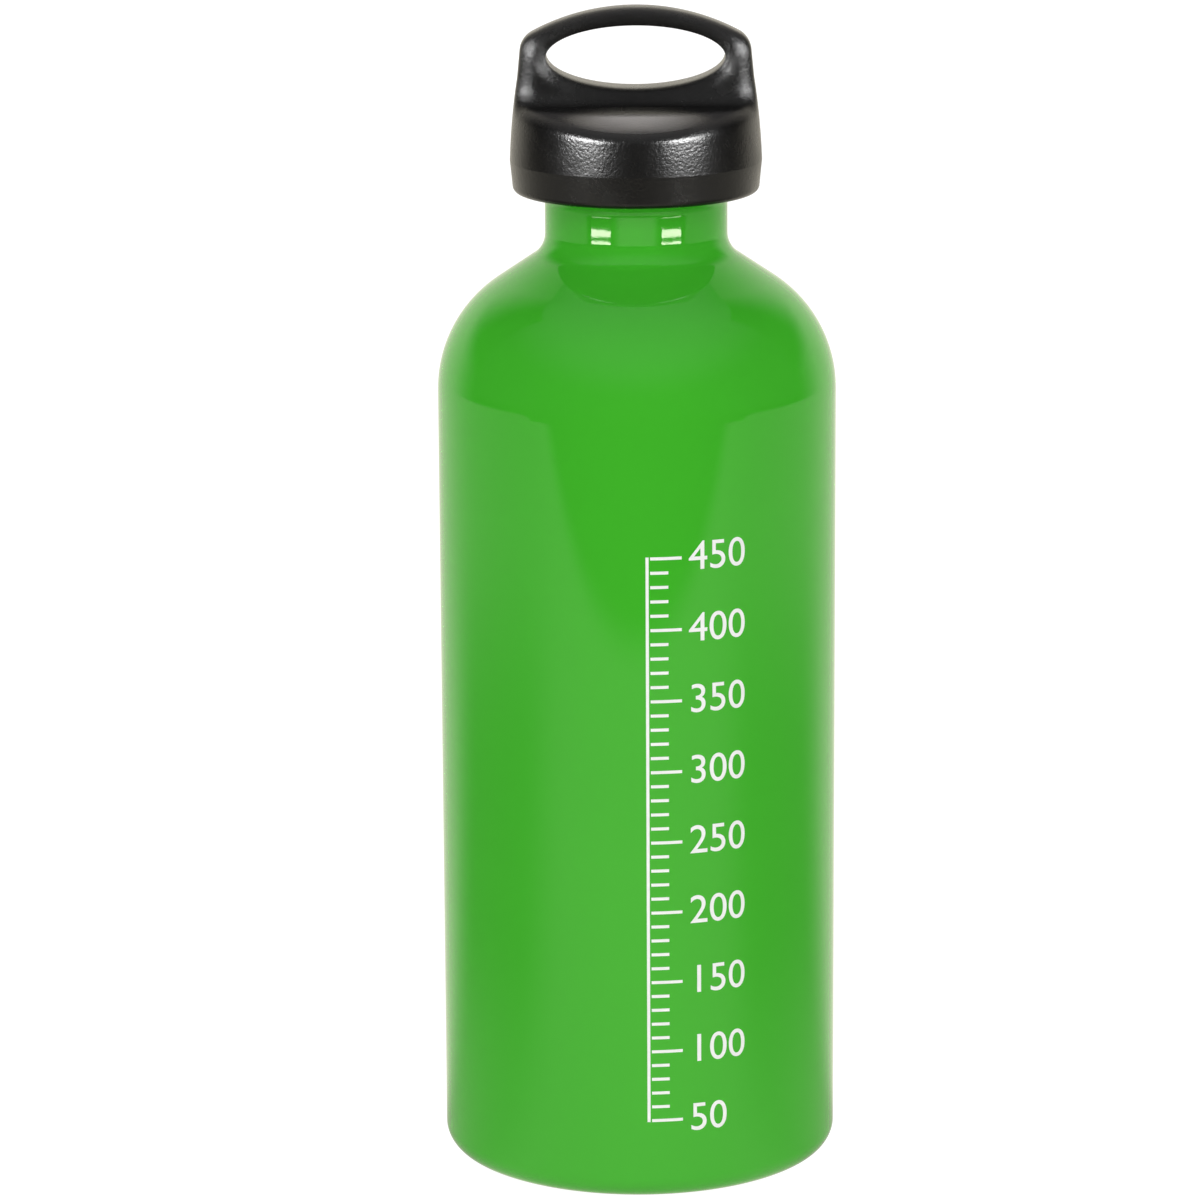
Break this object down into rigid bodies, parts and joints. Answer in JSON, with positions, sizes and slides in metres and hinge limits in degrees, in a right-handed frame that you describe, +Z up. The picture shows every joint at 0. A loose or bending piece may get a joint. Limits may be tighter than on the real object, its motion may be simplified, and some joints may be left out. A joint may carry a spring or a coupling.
{
  "type": "fuel bottle",
  "caption": "Slim metal fuel bottle with a rounded shoulder and narrow neck, closed by a push-and-turn safety cap with a carrying loop.",
  "frame": {"origin": "centre of the base, on the surface that the bottle stands on", "axes": "+Z up along the bottle's axis; X along the carrying loop, which lies in the XZ plane; the picture looks along +Y"},
  "size_m": [0.072, 0.072, 0.2116],
  "materials": {
    "green_lacquer": "gloss",
    "turned_aluminium": "satin",
    "seal_rubber": "matte",
    "plug_plastic": "satin",
    "spring_steel": "satin",
    "cap_plastic": "satin"
  },
  "bodies": {
    "bottle": {"bottle_shell": "green_lacquer", "neck_thread_ring": "turned_aluminium"},
    "seal": {"seal_ring": "seal_rubber"},
    "retainer": {"retaining_ring": "spring_steel"},
    "plug": {"inner_plug": "plug_plastic"},
    "spring": {"press_spring": "spring_steel"},
    "cap": {"outer_cap": "cap_plastic"}
  },
  "joints": [
    {"name": "cap_lift_off", "type": "slide", "parent": "bottle", "child": "seal", "axis": [0, 0, 1], "range_m": [0, 0.045]},
    {"name": "cap_thread_rise", "type": "slide", "parent": "seal", "child": "retainer", "axis": [0, 0, 1], "range_m": [0, 0.0126]},
    {"name": "cap_unscrew", "type": "hinge", "parent": "retainer", "child": "plug", "pos_m": [0, 0, 0.1833], "axis": [0, 0, 1], "range_deg": [0, 1125]},
    {"name": "cap_freewheel", "type": "hinge", "parent": "plug", "child": "spring", "pos_m": [0, 0, 0.1833], "axis": [0, 0, 1], "continuous": true},
    {"name": "cap_press", "type": "slide", "parent": "spring", "child": "cap", "axis": [0, 0, -1], "range_m": [0, 0.0017], "stiffness_N_per_m": 500, "springref_m": -0.006, "deforming": ["press_spring"]}
  ],
  "couplings": [
    {"joint": "cap_thread_rise", "follows": "cap_unscrew", "m_per_rad": 0.00063662}
  ]
}
